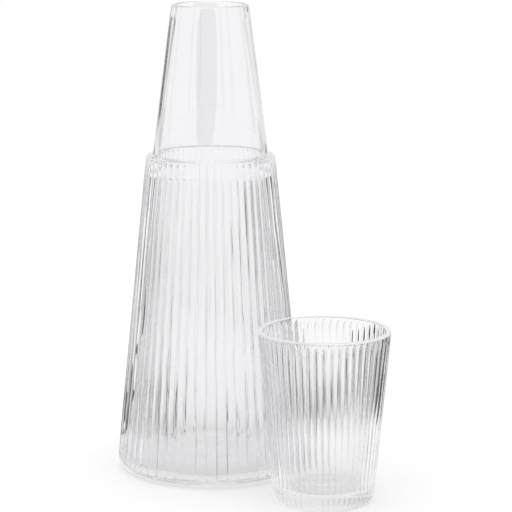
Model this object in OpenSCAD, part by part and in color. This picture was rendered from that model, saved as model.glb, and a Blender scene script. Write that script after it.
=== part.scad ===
// Bedside carafe with its drinking tumbler, both in clear reeded glass.
// The carafe is one blown piece: a reeded cone that steps in at a shoulder to a plain neck.
// The tumbler stands beside it, and turned over it covers the neck with its rim on the shoulder.
// Units are millimetres, +Z is up, and the origin is the centre of the carafe's foot.

/* [Carafe] */
// Radius of the reeded body, carried straight down to the table
body_foot_r = 52.5; // [46:0.5:58]
// Height of the shoulder above the table
shoulder_h = 174.5; // [140:0.5:220]
// Height of the mouth above the shoulder
neck_h = 81.5; // [60:0.5:100]
// Outer radius of the plain neck at the shoulder
neck_foot_r = 31.7; // [29:0.1:34]
// Outer radius of the plain neck at the mouth
mouth_r = 20.9; // [17:0.1:24]
// Wall of the reeded body at the crest of a rib
body_wall = 3; // [2.4:0.1:4]
// Wall of the plain neck
neck_wall = 2.2; // [1.6:0.1:3]
// Height of the inside of the carafe above the table
carafe_floor = 4.6; // [3.4:0.1:8]
// Radius of the rounded heel outside
carafe_heel_r = 8; // [5:0.5:12]
// Radius of the rounded heel inside
carafe_inner_heel_r = 6; // [3:0.5:10]

/* [Reeding] */
// Number of ribs round each piece
rib_count = 56; // [40:1:72]
// Radius of a rib's round, as a share of the radius of the piece there
rib_round_share = 0.105; // [0.09:0.005:0.15]

/* [Tumbler] */
// Outer radius of the tumbler, carried straight down to the table
tumbler_foot_r = 26.6; // [23.5:0.1:29]
// Wall of the tumbler at the crest of a rib
tumbler_wall = 2.6; // [2.2:0.1:3.2]
// Height of the inside of the tumbler above the table
tumbler_floor = 7.2; // [5:0.1:10]
// Radius of the tumbler's rounded heel outside
tumbler_heel_r = 1.4; // [1:0.1:3]
// Radius of the tumbler's rounded heel inside
tumbler_inner_heel_r = 4; // [2:0.5:8]
// Height of the plain band under the tumbler's rim
rim_band = 2.4; // [1.6:0.1:5]

/* [Fit] */
// Room between the neck and the rim of the turned-over tumbler
neck_clearance = 0.8; // [0.5:0.1:2]
// Room between the mouth and the inside of the turned-over tumbler
mouth_clearance = 3; // [2:0.1:8]

/* [Place] */
// Gap between the two pieces on the table
foot_gap = 9.9; // [4:0.1:40]
// Direction from the carafe to the tumbler, in degrees from +X
tumbler_turn = -48.3; // [-90:0.1:0]

/* [Hidden] */
$fn = 96;

// The turned-over tumbler's rim lies on the shoulder and ends flush with it
shoulder_r = neck_foot_r + neck_clearance + tumbler_wall;
carafe_h = shoulder_h + neck_h;
tumbler_h = neck_h + mouth_clearance + tumbler_floor;
tumbler_away = body_foot_r + foot_gap + tumbler_foot_r;

// Curves of the shoulder: the round edge ends outside the rim's line of contact
edge_share = 0.46;
hollow_share = 0.45;
ledge_w = shoulder_r - neck_foot_r;
edge_r = edge_share * tumbler_wall;
hollow_r = hollow_share * ledge_w;

// Curves and height of the shoulder inside, which closes in gently
inner_shoulder_r = 6;
inner_shoulder_drop = 11;

// Each foot is drawn up a little, which leaves a flat ring to stand on
carafe_ring_w = 6;
carafe_hollow_h = 1;
tumbler_ring_w = 4;
tumbler_hollow_h = 0.8;

// Finish of the round stretches, and how far a cut runs past what it cuts
arc_steps = 8;
rib_steps = 4;
overrun = 4;

// Colour of clear glass
glass = [0.86, 0.9, 0.92, 0.4];

// Lean of a straight wall from the upright, in degrees, positive where it closes in upwards
function lean(low_r, high_r, rise) = atan((low_r - high_r) / rise);

// Radius at height z of a straight wall
function wall_r(low_r, high_r, rise, z) = low_r + (high_r - low_r) * z / rise;

// Centre at height z of a round of radius r that touches a straight wall from inside
function inside_c(low_r, high_r, rise, z, r) =
    [wall_r(low_r, high_r, rise, z) - r / cos(lean(low_r, high_r, rise)), z];

// Lean of the line that goes up past a round outside it on to a round inside it, both of radius r
function joining_lean(low_c, high_c, r) =
    let (way = high_c - low_c)
    atan2(way[1], way[0]) - acos(2 * r / norm(way));

// Points of an arc about a centre, between two angles
function arc(centre, r, from, to, steps = arc_steps) =
    [for (i = [0:steps]) let (a = from + (to - from) * i / steps) centre + r * [cos(a), sin(a)]];

// Outline of the reeding across the axis: round ribs side by side, with their crests at radius r
function reeds(r) =
    let (
        half_pitch = 180 / rib_count,
        round_r = rib_round_share * r,
        centre_r = r - round_r,
        half_arc = half_pitch + asin(centre_r * sin(half_pitch) / round_r)
    )
    [
        for (rib = [0:rib_count - 1], step = [0:rib_steps - 1])
            let (
                turn = rib * 360 / rib_count,
                a = turn + half_arc * (2 * step / rib_steps - 1)
            )
            centre_r * [cos(turn), sin(turn)] + round_r * [cos(a), sin(a)]
    ];

// A reeded wall, solid inside, whose ribs narrow with it
module reeded(low_r, high_r, rise) {
    from_r = wall_r(low_r, high_r, rise, -overrun);
    to_r = wall_r(low_r, high_r, rise, rise + overrun);
    translate([0, 0, -overrun])
        linear_extrude(rise + 2 * overrun, scale = to_r / from_r)
            polygon(reeds(from_r));
}

// Section of the carafe: up the outside, over the lip and down the inside
function carafe_section() =
    let (
        body_lean = lean(body_foot_r, shoulder_r, shoulder_h),
        neck_lean = lean(neck_foot_r, mouth_r, neck_h),
        body_in = body_wall / cos(body_lean),
        neck_in = neck_wall / cos(neck_lean),
        heel_c = inside_c(body_foot_r, shoulder_r, shoulder_h, carafe_heel_r, carafe_heel_r),
        edge_c = inside_c(body_foot_r, shoulder_r, shoulder_h, shoulder_h - edge_r, edge_r),
        hollow_c = inside_c(neck_foot_r, mouth_r, neck_h, hollow_r, -hollow_r) + [0, shoulder_h],
        lip_r = neck_wall / 2,
        lip_c = inside_c(neck_foot_r, mouth_r, neck_h, neck_h - lip_r, lip_r) + [0, shoulder_h],
        throat_c = inside_c(neck_foot_r - neck_in, mouth_r - neck_in, neck_h, 0, -inner_shoulder_r)
            + [0, shoulder_h],
        inner_edge_c = inside_c(body_foot_r - body_in, shoulder_r - body_in, shoulder_h,
            shoulder_h - inner_shoulder_drop, inner_shoulder_r),
        inner_lean = joining_lean(inner_edge_c, throat_c, inner_shoulder_r),
        inner_heel_c = inside_c(body_foot_r - body_in, shoulder_r - body_in, shoulder_h,
            carafe_floor + carafe_inner_heel_r, carafe_inner_heel_r)
    )
    concat(
        [[0, carafe_hollow_h], [heel_c[0] - carafe_ring_w, 0]],
        arc(heel_c, carafe_heel_r, -90, body_lean),
        arc(edge_c, edge_r, body_lean, 90),
        arc(hollow_c, hollow_r, 270, 180 + neck_lean),
        arc(lip_c, lip_r, neck_lean, 180 + neck_lean),
        arc(throat_c, inner_shoulder_r, 180 + neck_lean, 180 + inner_lean),
        arc(inner_edge_c, inner_shoulder_r, inner_lean, body_lean),
        arc(inner_heel_c, carafe_inner_heel_r, body_lean, -90),
        [[0, carafe_floor]]
    );

module carafe() {
    color(glass)
        intersection() {
            rotate_extrude()
                polygon(carafe_section());
            union() {
                reeded(body_foot_r, shoulder_r, shoulder_h);
                cylinder(h = carafe_h + overrun, r = neck_foot_r);
            }
        }
}

// Section of the tumbler: up the outside, over the lip and down the inside
function tumbler_section() =
    let (
        side_lean = lean(tumbler_foot_r, shoulder_r, tumbler_h),
        side_in = tumbler_wall / cos(side_lean),
        heel_c = inside_c(tumbler_foot_r, shoulder_r, tumbler_h, tumbler_heel_r, tumbler_heel_r),
        lip_r = tumbler_wall / 2,
        lip_c = inside_c(tumbler_foot_r, shoulder_r, tumbler_h, tumbler_h - lip_r, lip_r),
        inner_heel_c = inside_c(tumbler_foot_r - side_in, shoulder_r - side_in, tumbler_h,
            tumbler_floor + tumbler_inner_heel_r, tumbler_inner_heel_r)
    )
    concat(
        [[0, tumbler_hollow_h], [heel_c[0] - tumbler_ring_w, 0]],
        arc(heel_c, tumbler_heel_r, -90, side_lean),
        arc(lip_c, lip_r, side_lean, 180 + side_lean),
        arc(inner_heel_c, tumbler_inner_heel_r, side_lean, -90),
        [[0, tumbler_floor]]
    );

module tumbler() {
    band_low_r = wall_r(tumbler_foot_r, shoulder_r, tumbler_h, tumbler_h - rim_band) - tumbler_wall / 2;
    color(glass)
        translate([tumbler_away * cos(tumbler_turn), tumbler_away * sin(tumbler_turn), 0])
            intersection() {
                rotate_extrude()
                    polygon(tumbler_section());
                union() {
                    reeded(tumbler_foot_r, shoulder_r, tumbler_h);
                    translate([0, 0, tumbler_h - rim_band - tumbler_wall / 2])
                        cylinder(h = rim_band + overrun, r1 = band_low_r, r2 = band_low_r + rim_band + overrun);
                }
            }
}

carafe();
tumbler();
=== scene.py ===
import math

import bmesh
import bpy
from mathutils import Matrix, Vector, noise


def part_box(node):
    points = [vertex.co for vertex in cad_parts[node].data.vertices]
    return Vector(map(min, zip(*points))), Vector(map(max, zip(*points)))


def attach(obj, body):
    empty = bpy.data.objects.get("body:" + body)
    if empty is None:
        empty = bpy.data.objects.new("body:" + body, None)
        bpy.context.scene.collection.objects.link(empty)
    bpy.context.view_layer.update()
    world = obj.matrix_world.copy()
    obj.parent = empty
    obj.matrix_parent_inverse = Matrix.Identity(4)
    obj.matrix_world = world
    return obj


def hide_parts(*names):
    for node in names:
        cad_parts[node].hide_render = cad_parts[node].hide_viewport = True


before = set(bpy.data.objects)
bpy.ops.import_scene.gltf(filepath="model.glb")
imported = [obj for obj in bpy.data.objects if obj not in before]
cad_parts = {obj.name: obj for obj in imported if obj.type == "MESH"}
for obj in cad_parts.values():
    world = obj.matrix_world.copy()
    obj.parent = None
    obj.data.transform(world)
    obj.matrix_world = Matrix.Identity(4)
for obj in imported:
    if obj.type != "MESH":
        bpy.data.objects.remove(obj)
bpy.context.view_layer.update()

# Camera
# It stands in front of the set at the height of a seated eye, with a long lens, and looks a little
# down, so that both mouths show as narrow ellipses.
camera_place = (0, -1.2854, 0.3606)
camera_down = math.radians(10.68)
camera_right = math.radians(1.1)
camera_data = bpy.data.cameras.new("camera")
camera_data.sensor_width = 36
camera_data.lens = 167.9
camera_data.clip_start = 0.05
camera_data.clip_end = 60
camera = bpy.data.objects.new("camera", camera_data)
camera.location = camera_place
camera.rotation_euler = (math.pi / 2 - camera_down, 0, -camera_right)
bpy.context.scene.collection.objects.link(camera)
bpy.context.scene.camera = camera

# Carafe
# One blown piece of clear glass. The mould gives the body its upright round ribs, and the neck
# above the shoulder stays plain. The inside is smooth and a little uneven.
MM = 0.001
carafe_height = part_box("carafe")[1].z
shoulder_height = 174.5 * MM
body_foot_radius = 52.45 * MM
shoulder_radius = 35.08 * MM
neck_foot_radius = 31.7 * MM
mouth_radius = 20.9 * MM
body_wall = 3 * MM
neck_wall = 2.2 * MM
carafe_floor = 4.6 * MM
carafe_heel = 8 * MM
carafe_inner_heel = 6 * MM
carafe_ring = 6 * MM
carafe_hollow = 1 * MM
shoulder_edge = 1.2 * MM
shoulder_hollow = 1.53 * MM
throat_round = 6 * MM
throat_top_drop = 1.6 * MM
throat_low_drop = 9.5 * MM
lip_share = 0.49
rib_count = 56
rib_round_share = 0.105
groove_round_share = 0.003
steps_a_rib = 12
groove_shade_steps = 1.2
groove_shade_power = 3
foot_fade = 3
heel_sharpness = 1.5
low_sag = 1.5
drawn_out = 3
fine_swell = 2.5
carafe_row = 7.5 * MM
fewest_segments = 6
segments_a_mm = 1.5
weld = 0.01 * MM
carafe_clear = (0.955, 0.955, 0.963, 1)
# Colour of the painted shade at the edges, in the grooves and in the foot of the glass
painted_shade_colour = (0.05, 0.05, 0.055, 1)
glass_depth = (0.55, 0.55, 0.58, 1)
glass_density = 2.5
glass_haze = 0.012


def wall_radius(low, high, rise, z):
    """Radius at height z of a straight wall that goes from low to high over its rise."""
    return low + (high - low) * z / rise


def wall_inset(low, high, rise, wall):
    """How far in, measured level, the inside of a leaning wall lies."""
    return wall * math.hypot(rise, low - high) / rise


def draw_section(corners, row):
    """The section's chain of edges, cut into rows, with each corner rounded to its radius."""
    bm = bmesh.new()
    verts = [bm.verts.new((x, 0, z)) for x, z, radius in corners]
    for a, b in zip(verts, verts[1:]):
        bm.edges.new((a, b))
    for vert, (x, z, radius) in zip(verts, corners):
        if radius:
            one, two = (edge.other_vert(vert).co - vert.co for edge in vert.link_edges)
            bmesh.ops.bevel(
                bm,
                geom=[vert],
                offset=radius / math.tan(one.angle(two) / 2),
                offset_type="OFFSET",
                segments=max(fewest_segments, round(radius / MM * segments_a_mm)),
                profile=0.5,
                affect="VERTICES",
                material=-1,
            )
    for edge in list(bm.edges):
        cuts = int(edge.calc_length() / row)
        if cuts:
            bmesh.ops.subdivide_edges(bm, edges=[edge], cuts=cuts)
    return bm


def rib_share(turn):
    """Radius of the reeding as a share of its crest's, at an angle from the middle of a rib."""
    pitch = 2 * math.pi / rib_count

    def round_rib(a):
        centre = 1 - rib_round_share
        return centre * math.cos(a) + math.sqrt(rib_round_share**2 - (centre * math.sin(a)) ** 2)

    here = round_rib(abs(turn))
    beside = round_rib(pitch - abs(turn))
    near = max(groove_round_share - here + beside, 0) / groove_round_share
    return here + near * near * groove_round_share / 4


def press_rib(bm, low, high, rise, depth, heel, top):
    """Turns the section through one rib, draws its outside in towards the grooves, and marks them for
    painted shade.
    """
    pitch = 2 * math.pi / rib_count
    groove_shade = bm.verts.layers.float.new("groove_shade")
    bmesh.ops.rotate(bm, verts=list(bm.verts), cent=(0, 0, 0), matrix=Matrix.Rotation(-pitch / 2, 3, "Z"))
    bmesh.ops.spin(
        bm,
        geom=list(bm.verts) + list(bm.edges),
        cent=(0, 0, 0),
        axis=(0, 0, 1),
        dvec=(0, 0, 0),
        angle=pitch,
        steps=steps_a_rib,
        use_merge=False,
        use_normal_flip=False,
        use_duplicate=False,
    )
    for vert in bm.verts:
        across = math.hypot(vert.co.x, vert.co.y)
        crest = wall_radius(low, high, rise, vert.co.z)
        if vert.co.z > top or across < crest - depth:
            continue
        turn = math.atan2(vert.co.y, vert.co.x)
        pressed = min(1, vert.co.z / heel)
        reed = crest * (1 - pressed * (1 - rib_share(turn)))
        if reed < across:
            bmesh.ops.scale(bm, verts=[vert], vec=(reed / across, reed / across, 1))
            # The groove gets its painted shade line, stronger where the wall is wider
            beside = (pitch / 2 - abs(turn)) / pitch * steps_a_rib / groove_shade_steps
            vert[groove_shade] = pressed * (crest / low) ** groove_shade_power * max(0, 1 - beside)


def turn_ribs(bm):
    """Repeats the one rib all round, and welds the ribs into a closed shell."""
    bmesh.ops.spin(
        bm,
        geom=list(bm.verts) + list(bm.edges) + list(bm.faces),
        cent=(0, 0, 0),
        axis=(0, 0, 1),
        dvec=(0, 0, 0),
        angle=2 * math.pi * (rib_count - 1) / rib_count,
        steps=rib_count - 1,
        use_merge=False,
        use_normal_flip=False,
        use_duplicate=True,
    )
    bmesh.ops.remove_doubles(bm, verts=list(bm.verts), dist=weld)


def mark_side(bm, low, high, rise, foot, top, wall, fade, outer_share, inner_share):
    """Marks both faces of one straight wall for the painted edge shade, fading out at its foot and top.
    """
    side = bm.verts.layers.float.get("side") or bm.verts.layers.float.new("side")
    for vert in bm.verts:
        middle = wall_radius(low, high, rise, vert.co.z - foot) - wall / 2
        across = math.hypot(vert.co.x, vert.co.y)
        if foot < vert.co.z < top and across > middle - wall:
            share = outer_share if across > middle else inner_share
            vert[side] = share * min(vert.co.z - foot, top - vert.co.z, fade) / fade


def mark_foot_shade(bm, heel, none):
    """Marks the thick foot for painted shade, most at the top of its heel, up to where none is left."""
    foot = bm.verts.layers.float.new("foot")
    for vert in bm.verts:
        vert[foot] = max(0, min(1, (none - vert.co.z) / (none - heel))) ** foot_fade
        vert[foot] += max(0, 1 - heel_sharpness * abs(vert.co.z / heel - 1))


def blow_inside(bm, low, high, rise, foot, top, depth, push, grain):
    """Makes the smooth inside of one straight wall a little uneven, most of all low down."""
    for vert in bm.verts:
        across = math.hypot(vert.co.x, vert.co.y)
        inner = wall_radius(low, high, rise, vert.co.z - foot) - depth
        if across < weld or across > inner or not foot < vert.co.z < top:
            continue
        fade = min(vert.co.z - foot, top - vert.co.z, grain) / grain
        sag = low_sag - (vert.co.z - foot) / (top - foot)
        spot = Vector((vert.co.x, vert.co.y, vert.co.z / drawn_out)) / grain
        swell = 1 + fade * sag * push * (noise.noise(spot) + noise.noise(fine_swell * spot) / 3) / across
        vert.co.x *= swell
        vert.co.y *= swell


def finish_mesh(bm, name, place=(0, 0, 0)):
    """Turns the faces outward, moves the shell to its place and makes it a smooth object."""
    bmesh.ops.recalc_face_normals(bm, faces=list(bm.faces))
    bmesh.ops.translate(bm, verts=list(bm.verts), vec=place)
    mesh = bpy.data.meshes.new(name)
    bm.to_mesh(mesh)
    bm.free()
    mesh.shade_smooth()
    piece = bpy.data.objects.new(name, mesh)
    bpy.context.scene.collection.objects.link(piece)
    return piece


neck_height = carafe_height - shoulder_height
body_inset = wall_inset(body_foot_radius, shoulder_radius, shoulder_height, body_wall)
neck_inset = wall_inset(neck_foot_radius, mouth_radius, neck_height, neck_wall)
inside_foot = body_foot_radius - body_inset
inside_shoulder = shoulder_radius - body_inset
inside_neck = neck_foot_radius - neck_inset
inside_mouth = mouth_radius - neck_inset
throat_top = shoulder_height - throat_top_drop
throat_low = shoulder_height - throat_low_drop
throat_top_radius = wall_radius(inside_neck, inside_mouth, neck_height, -throat_top_drop)
throat_low_radius = wall_radius(inside_foot, inside_shoulder, shoulder_height, throat_low)
inner_heel_radius = wall_radius(inside_foot, inside_shoulder, shoulder_height, carafe_floor)
bm = draw_section([
    (0, carafe_hollow, 0),
    (body_foot_radius - carafe_heel - carafe_ring, 0, 0),
    (body_foot_radius, 0, carafe_heel),
    (shoulder_radius, shoulder_height, shoulder_edge),
    (neck_foot_radius, shoulder_height, shoulder_hollow),
    (mouth_radius, carafe_height, neck_wall * lip_share),
    (inside_mouth, carafe_height, neck_wall * lip_share),
    (throat_top_radius, throat_top, throat_round),
    (throat_low_radius, throat_low, throat_round),
    (inner_heel_radius, carafe_floor, carafe_inner_heel),
    (0, carafe_floor, 0),
], carafe_row)
# The grooves, the wall faces and the foot are marked for painted shade
press_rib(bm, body_foot_radius, shoulder_radius, shoulder_height,
          depth=body_wall / 2, heel=carafe_heel, top=shoulder_height + MM)
mark_side(bm, body_foot_radius, shoulder_radius, shoulder_height,
          foot=0, top=shoulder_height, wall=body_wall, fade=6 * MM, outer_share=0.8, inner_share=0.3)
mark_side(bm, neck_foot_radius, mouth_radius, neck_height, foot=shoulder_height, top=carafe_height,
          wall=neck_wall, fade=3 * MM, outer_share=0.5, inner_share=0)
mark_foot_shade(bm, heel=carafe_heel, none=90 * MM)
turn_ribs(bm)
blow_inside(bm, body_foot_radius, shoulder_radius, shoulder_height,
            foot=0, top=throat_low, depth=body_wall / 2, push=0.4 * MM, grain=10 * MM)
blow_inside(bm, neck_foot_radius, mouth_radius, neck_height,
            foot=shoulder_height, top=carafe_height, depth=neck_wall / 2, push=0.04 * MM, grain=16 * MM)
carafe = finish_mesh(bm, "carafe_glass")


def fire_polish_group():
    """Surface of fire-polished glass: faint upright drawn lines, and a slight haze in places."""
    group = bpy.data.node_groups.new("fire_polish", "ShaderNodeTree")
    group.interface.new_socket("Vector", in_out="INPUT", socket_type="NodeSocketVector")
    for name in ("Line Scale", "Line Strength", "Haze"):
        group.interface.new_socket(name, in_out="INPUT", socket_type="NodeSocketFloat")
    group.interface.new_socket("Roughness", in_out="OUTPUT", socket_type="NodeSocketFloat")
    group.interface.new_socket("Normal", in_out="OUTPUT", socket_type="NodeSocketVector")
    nodes, links = group.nodes, group.links
    given = nodes.new("NodeGroupInput")
    made = nodes.new("NodeGroupOutput")
    drawn = nodes.new("ShaderNodeMapping")
    drawn.inputs["Scale"].default_value = (1, 1, 0.12)
    lines = nodes.new("ShaderNodeTexNoise")
    lines.inputs["Detail"].default_value = 2
    wave = nodes.new("ShaderNodeBump")
    wave.inputs["Distance"].default_value = 0.2 * MM
    patches = nodes.new("ShaderNodeTexNoise")
    patches.inputs["Scale"].default_value = 35
    rough = nodes.new("ShaderNodeMapRange")
    rough.inputs["From Min"].default_value = 0.5
    rough.inputs["From Max"].default_value = 0.8
    links.new(given.outputs["Vector"], drawn.inputs["Vector"])
    links.new(drawn.outputs["Vector"], lines.inputs["Vector"])
    links.new(given.outputs["Line Scale"], lines.inputs["Scale"])
    links.new(lines.outputs["Fac"], wave.inputs["Height"])
    links.new(given.outputs["Line Strength"], wave.inputs["Strength"])
    links.new(given.outputs["Vector"], patches.inputs["Vector"])
    links.new(patches.outputs["Fac"], rough.inputs["Value"])
    links.new(given.outputs["Haze"], rough.inputs["To Max"])
    links.new(rough.outputs["Result"], made.inputs["Roughness"])
    links.new(wave.outputs["Normal"], made.inputs["Normal"])
    return group


fire_polish = fire_polish_group()


def tint_and_painted_shade_group():
    """Tint of a wall seen from outside: its clear colour, with painted shade where it turns away, in
    grooves and foot.
    """
    group = bpy.data.node_groups.new("tint_and_painted_shade", "ShaderNodeTree")
    group.interface.new_socket("Vector", in_out="INPUT", socket_type="NodeSocketVector")
    for name in ("Facing", "Backfacing", "Side", "Groove", "Foot"):
        group.interface.new_socket(name, in_out="INPUT", socket_type="NodeSocketFloat")
    for name in ("Edge Share", "Groove Share", "Foot Share"):
        group.interface.new_socket(name, in_out="INPUT", socket_type="NodeSocketFloat")
    for name in ("Clear", "Dark"):
        group.interface.new_socket(name, in_out="INPUT", socket_type="NodeSocketColor")
    group.interface.new_socket("Color", in_out="OUTPUT", socket_type="NodeSocketColor")
    nodes, links = group.nodes, group.links
    given = nodes.new("NodeGroupInput")
    made = nodes.new("NodeGroupOutput")

    def combine(operation, a, b):
        node = nodes.new("ShaderNodeMath")
        node.operation = operation
        links.new(a, node.inputs[0])
        links.new(b, node.inputs[1])
        return node.outputs["Value"]

    # Painted shade: a dark band where the glass turns away from the eye, like the edges of glass in dark
    # surroundings
    band = nodes.new("ShaderNodeValToRGB")
    stops = band.color_ramp.elements
    stops[0].position = 0.2
    stops[0].color = (0, 0, 0, 1)
    stops[1].position = 0.92
    stops[1].color = (0.3, 0.3, 0.3, 1)
    for position, level in ((0.52, 0.12), (0.68, 1), (0.8, 1)):
        stop = stops.new(position)
        stop.color = (level, level, level, 1)
    links.new(given.outputs["Facing"], band.inputs["Fac"])
    edge = combine("MULTIPLY", band.outputs["Color"], given.outputs["Side"])
    edge = combine("MULTIPLY", edge, given.outputs["Edge Share"])

    # Painted shade lines in the grooves, which come and go in long upright dashes
    drawn = nodes.new("ShaderNodeMapping")
    drawn.inputs["Scale"].default_value = (1, 1, 0.35)
    dashes = nodes.new("ShaderNodeTexNoise")
    dashes.inputs["Scale"].default_value = 80
    dashes.inputs["Detail"].default_value = 1
    broken = nodes.new("ShaderNodeMapRange")
    broken.inputs["From Min"].default_value = 0.44
    broken.inputs["From Max"].default_value = 0.62
    broken.inputs["To Min"].default_value = 0.15
    links.new(given.outputs["Vector"], drawn.inputs["Vector"])
    links.new(drawn.outputs["Vector"], dashes.inputs["Vector"])
    links.new(dashes.outputs["Fac"], broken.inputs["Value"])
    groove_shade = combine("MULTIPLY", given.outputs["Groove"], given.outputs["Groove Share"])
    groove_shade = combine("MULTIPLY", groove_shade, broken.outputs["Result"])

    # Painted shade in the foot; all of the painted shade shows only on faces seen from outside
    foot = combine("MULTIPLY", given.outputs["Foot"], given.outputs["Foot Share"])
    dark = combine("MAXIMUM", combine("MAXIMUM", edge, groove_shade), foot)
    outside = nodes.new("ShaderNodeMath")
    outside.operation = "SUBTRACT"
    outside.inputs[0].default_value = 1
    links.new(given.outputs["Backfacing"], outside.inputs[1])
    dark = combine("MULTIPLY", dark, outside.outputs["Value"])
    tint = nodes.new("ShaderNodeMix")
    tint.data_type = "RGBA"
    links.new(dark, tint.inputs["Factor"])
    links.new(given.outputs["Clear"], tint.inputs["A"])
    links.new(given.outputs["Dark"], tint.inputs["B"])
    links.new(tint.outputs["Result"], made.inputs["Color"])
    return group


tint_and_painted_shade = tint_and_painted_shade_group()


def start_material(name):
    """A new material, with its nodes and their links."""
    material = bpy.data.materials.new(name)
    material.use_nodes = True
    return material, material.node_tree.nodes, material.node_tree.links


def clear_glass(name, clear, edge_shade_share, groove_shade_share, foot_shade_share, line_scale, line_strength):
    """Clear glass with its own tint, painted shade at its edges, grooves and foot, depth and drawn lines.
    """
    material, nodes, links = start_material(name)
    shader = nodes["Principled BSDF"]
    shader.inputs["Metallic"].default_value = 0
    shader.inputs["IOR"].default_value = 1.5
    shader.inputs["Transmission Weight"].default_value = 1
    slant = nodes.new("ShaderNodeLayerWeight")
    slant.inputs["Blend"].default_value = 0.5
    faced = nodes.new("ShaderNodeNewGeometry")
    place = nodes.new("ShaderNodeTexCoord")
    tint = nodes.new("ShaderNodeGroup")
    tint.node_tree = tint_and_painted_shade
    tint.inputs["Clear"].default_value = clear
    tint.inputs["Dark"].default_value = painted_shade_colour
    tint.inputs["Edge Share"].default_value = edge_shade_share
    tint.inputs["Groove Share"].default_value = groove_shade_share
    tint.inputs["Foot Share"].default_value = foot_shade_share
    for socket, mark in (("Side", "side"), ("Groove", "groove_shade"), ("Foot", "foot")):
        marked = nodes.new("ShaderNodeAttribute")
        marked.attribute_name = mark
        links.new(marked.outputs["Fac"], tint.inputs[socket])
    links.new(place.outputs["Object"], tint.inputs["Vector"])
    links.new(slant.outputs["Facing"], tint.inputs["Facing"])
    links.new(faced.outputs["Backfacing"], tint.inputs["Backfacing"])
    links.new(tint.outputs["Color"], shader.inputs["Base Color"])
    polish = nodes.new("ShaderNodeGroup")
    polish.node_tree = fire_polish
    polish.inputs["Line Scale"].default_value = line_scale
    polish.inputs["Line Strength"].default_value = line_strength
    polish.inputs["Haze"].default_value = glass_haze
    links.new(place.outputs["Object"], polish.inputs["Vector"])
    links.new(polish.outputs["Roughness"], shader.inputs["Roughness"])
    links.new(polish.outputs["Normal"], shader.inputs["Normal"])
    depth = nodes.new("ShaderNodeVolumeAbsorption")
    depth.inputs["Color"].default_value = glass_depth
    depth.inputs["Density"].default_value = glass_density
    links.new(depth.outputs["Volume"], nodes["Material Output"].inputs["Volume"])
    return material


# Shares of the painted shade at the edges, in the grooves and in the foot
carafe.data.materials.append(clear_glass(
    "carafe_clear_glass", carafe_clear, edge_shade_share=0.9, groove_shade_share=1, foot_shade_share=0.2,
    line_scale=90, line_strength=0.14))
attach(carafe, "carafe")
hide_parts("carafe")

# Tumbler
# One pressed piece of the same glass with the same number of ribs, a thick foot and a plain round
# rim. It stands beside the carafe, and turned over it covers the neck.
tumbler_low, tumbler_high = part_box("tumbler")
tumbler_height = tumbler_high.z
tumbler_place = ((tumbler_low.x + tumbler_high.x) / 2, (tumbler_low.y + tumbler_high.y) / 2, 0)
tumbler_foot_radius = 26.6 * MM
tumbler_rim_radius = shoulder_radius
tumbler_wall = 2.6 * MM
tumbler_floor = 7.2 * MM
tumbler_heel = 1.4 * MM
tumbler_inner_heel = 4 * MM
tumbler_ring = 4 * MM
tumbler_hollow = 0.8 * MM
rim_band = 2.4 * MM
tumbler_row = 4 * MM
tumbler_clear = (0.965, 0.965, 0.97, 1)
tumbler_inset = wall_inset(tumbler_foot_radius, tumbler_rim_radius, tumbler_height, tumbler_wall)
floor_wall_radius = wall_radius(tumbler_foot_radius, tumbler_rim_radius, tumbler_height, tumbler_floor)
bm = draw_section([
    (0, tumbler_hollow, 0),
    (tumbler_foot_radius - tumbler_heel - tumbler_ring, 0, 0),
    (tumbler_foot_radius, 0, tumbler_heel),
    (tumbler_rim_radius, tumbler_height, tumbler_wall * lip_share),
    (tumbler_rim_radius - tumbler_inset, tumbler_height, tumbler_wall * lip_share),
    (floor_wall_radius - tumbler_inset, tumbler_floor, tumbler_inner_heel),
    (0, tumbler_floor, 0),
], tumbler_row)
# The grooves, the wall faces and the foot are marked for painted shade
press_rib(bm, tumbler_foot_radius, tumbler_rim_radius, tumbler_height,
          depth=tumbler_wall / 2, heel=tumbler_heel, top=tumbler_height - rim_band)
mark_side(bm, tumbler_foot_radius, tumbler_rim_radius, tumbler_height,
          foot=0, top=tumbler_height, wall=tumbler_wall, fade=6 * MM, outer_share=0.8, inner_share=0.3)
mark_foot_shade(bm, heel=tumbler_floor, none=50 * MM)
turn_ribs(bm)
blow_inside(bm, tumbler_foot_radius, tumbler_rim_radius, tumbler_height,
            foot=0, top=tumbler_height, depth=tumbler_wall / 2, push=0.18 * MM, grain=9 * MM)
tumbler = finish_mesh(bm, "tumbler_glass", tumbler_place)
# Shares of the painted shade at the edges, in the grooves and in the foot
tumbler.data.materials.append(clear_glass(
    "tumbler_clear_glass", tumbler_clear, edge_shade_share=0.2, groove_shade_share=0.85, foot_shade_share=0.18,
    line_scale=110, line_strength=0.12))
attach(tumbler, "tumbler")
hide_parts("tumbler")

# Floor
# A wide white studio table. It shines through the glass as a lit table does, and to the eye it
# keeps a part of its own shade, so that a pale shadow shows.
floor_reach = 12
floor_shade = 0.4
white = (1, 1, 1, 1)
bm = bmesh.new()
bmesh.ops.create_grid(bm, x_segments=1, y_segments=1, size=floor_reach)
floor = finish_mesh(bm, "floor")
floor_paper, nodes, links = start_material("floor_paper")
paper = nodes["Principled BSDF"]
paper.inputs["Base Color"].default_value = white
paper.inputs["Roughness"].default_value = 0.9
paper.inputs["Specular IOR Level"].default_value = 0
glow = nodes.new("ShaderNodeEmission")
glow.inputs["Color"].default_value = white
glow.inputs["Strength"].default_value = 1
path = nodes.new("ShaderNodeLightPath")
through = nodes.new("ShaderNodeMath")
through.operation = "MAXIMUM"
seen = nodes.new("ShaderNodeMath")
seen.operation = "MULTIPLY_ADD"
seen.inputs[1].default_value = 1 - floor_shade
seen.use_clamp = True
links.new(path.outputs["Is Transmission Ray"], through.inputs[0])
links.new(path.outputs["Is Glossy Ray"], through.inputs[1])
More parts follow.
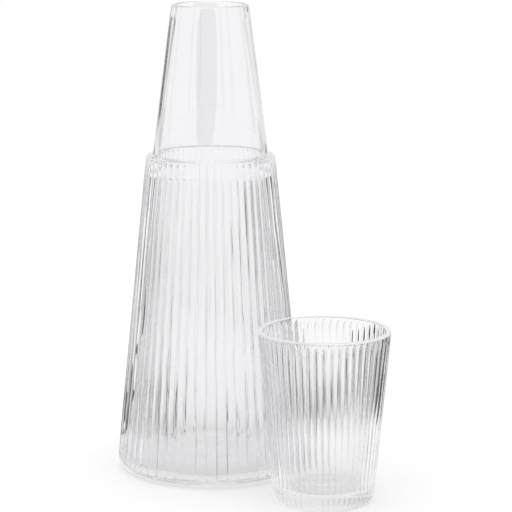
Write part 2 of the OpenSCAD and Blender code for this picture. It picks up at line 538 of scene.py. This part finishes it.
links.new(path.outputs["Is Camera Ray"], seen.inputs[0])
links.new(through.outputs["Value"], seen.inputs[2])
blend = nodes.new("ShaderNodeMixShader")
links.new(seen.outputs["Value"], blend.inputs["Fac"])
links.new(paper.outputs["BSDF"], blend.inputs[1])
links.new(glow.outputs["Emission"], blend.inputs[2])
links.new(blend.outputs["Shader"], nodes["Material Output"].inputs["Surface"])
floor.data.materials.append(floor_paper)

# Cards
# Cards that lie on the table behind and beside the set, out of the straight view through it. The
# edges and ribs of the glass bend the dark ones into thin lines and the pale ones into soft stripes.
card_lift = 1 * MM
card_steps = 12
card_end = 0.35
dark = 0.03

# Each card's turn from straight behind and its spread in degrees, where it begins and ends in
# metres, and its shade. A dark one lies over a pale one.
card_places = [
    (-43, 8, 0.06, 0.6, dark), (-31, 7, 0.055, 0.7, dark), (-22, 3, 0.055, 0.35, dark),
    (-50, 10, 0.45, 1.7, dark), (-51, 9, 1.2, 20, dark), (-25, 20, 2.2, 12, dark),
    (31, 9, 0.25, 0.95, dark), (27, 13, 0.6, 1.7, dark), (52, 12, 1.1, 12, dark),
    (28, 4, 0.07, 0.28, dark), (38, 3, 0.055, 0.4, dark), (45, 13, 0.13, 0.5, dark),
    (75, 27, 0.15, 0.55, dark),
    (-19, 8, 0.2, 1.4, 0.75), (20, 8, 0.5, 1.4, 0.75), (10, 5, 0.3, 0.8, 0.6),
    (-0.5, 2.6, 0.4, 50, 0.88), (18, 14, 2.2, 12, 0.75),
]
card_places += [(turn + quarter, 6, 0.2, 3, dark) for quarter in (90, 180, 270) for turn in (-30, 34)]
for index, (turn, spread, near, far, shade) in enumerate(card_places):
    bm = bmesh.new()
    bmesh.ops.create_grid(bm, x_segments=1, y_segments=card_steps, size=0.5)
    for vert in bm.verts:
        along = vert.co.y + 0.5
        away = near * (far / near) ** along
        width = spread * min(1, along / card_end, (1 - along) / card_end)
        a = math.radians(90 - turn - width * vert.co.x)
        vert.co = (away * math.cos(a), away * math.sin(a), card_lift * (1 - shade / 2))
    card = finish_mesh(bm, f"card_{index}")
    card_paper, nodes, links = start_material("card_paper")
    grey = nodes.new("ShaderNodeEmission")
    grey.inputs["Strength"].default_value = shade
    links.new(grey.outputs["Emission"], nodes["Material Output"].inputs["Surface"])
    card.data.materials.append(card_paper)
    card.visible_camera = False
    card.visible_diffuse = False
    card.visible_shadow = False

# Light
# A white studio all round, which gives the glass nearly all of its look, and one wide soft lamp
# above the set, a little to the left.
world = bpy.data.worlds.new("studio")
bpy.context.scene.world = world
world.use_nodes = True
studio = world.node_tree.nodes["Background"]
studio.inputs["Color"].default_value = white
studio.inputs["Strength"].default_value = 1
lamp_size = 1.6
lamp_data = bpy.data.lights.new("lamp", "AREA")
lamp_data.shape = "RECTANGLE"
lamp_data.size = lamp_size
lamp_data.size_y = lamp_size
lamp_data.energy = 6
lamp = bpy.data.objects.new("lamp", lamp_data)
lamp.location = (-0.3, -0.2, 1.8)
bpy.context.scene.collection.objects.link(lamp)

# Light goes through many ribs and walls of glass before it leaves
glass_bounces = 128
scene = bpy.context.scene
scene.view_settings.view_transform = "Standard"
scene.cycles.max_bounces = glass_bounces
scene.cycles.transmission_bounces = glass_bounces
scene.cycles.glossy_bounces = glass_bounces
scene.cycles.diffuse_bounces = 4
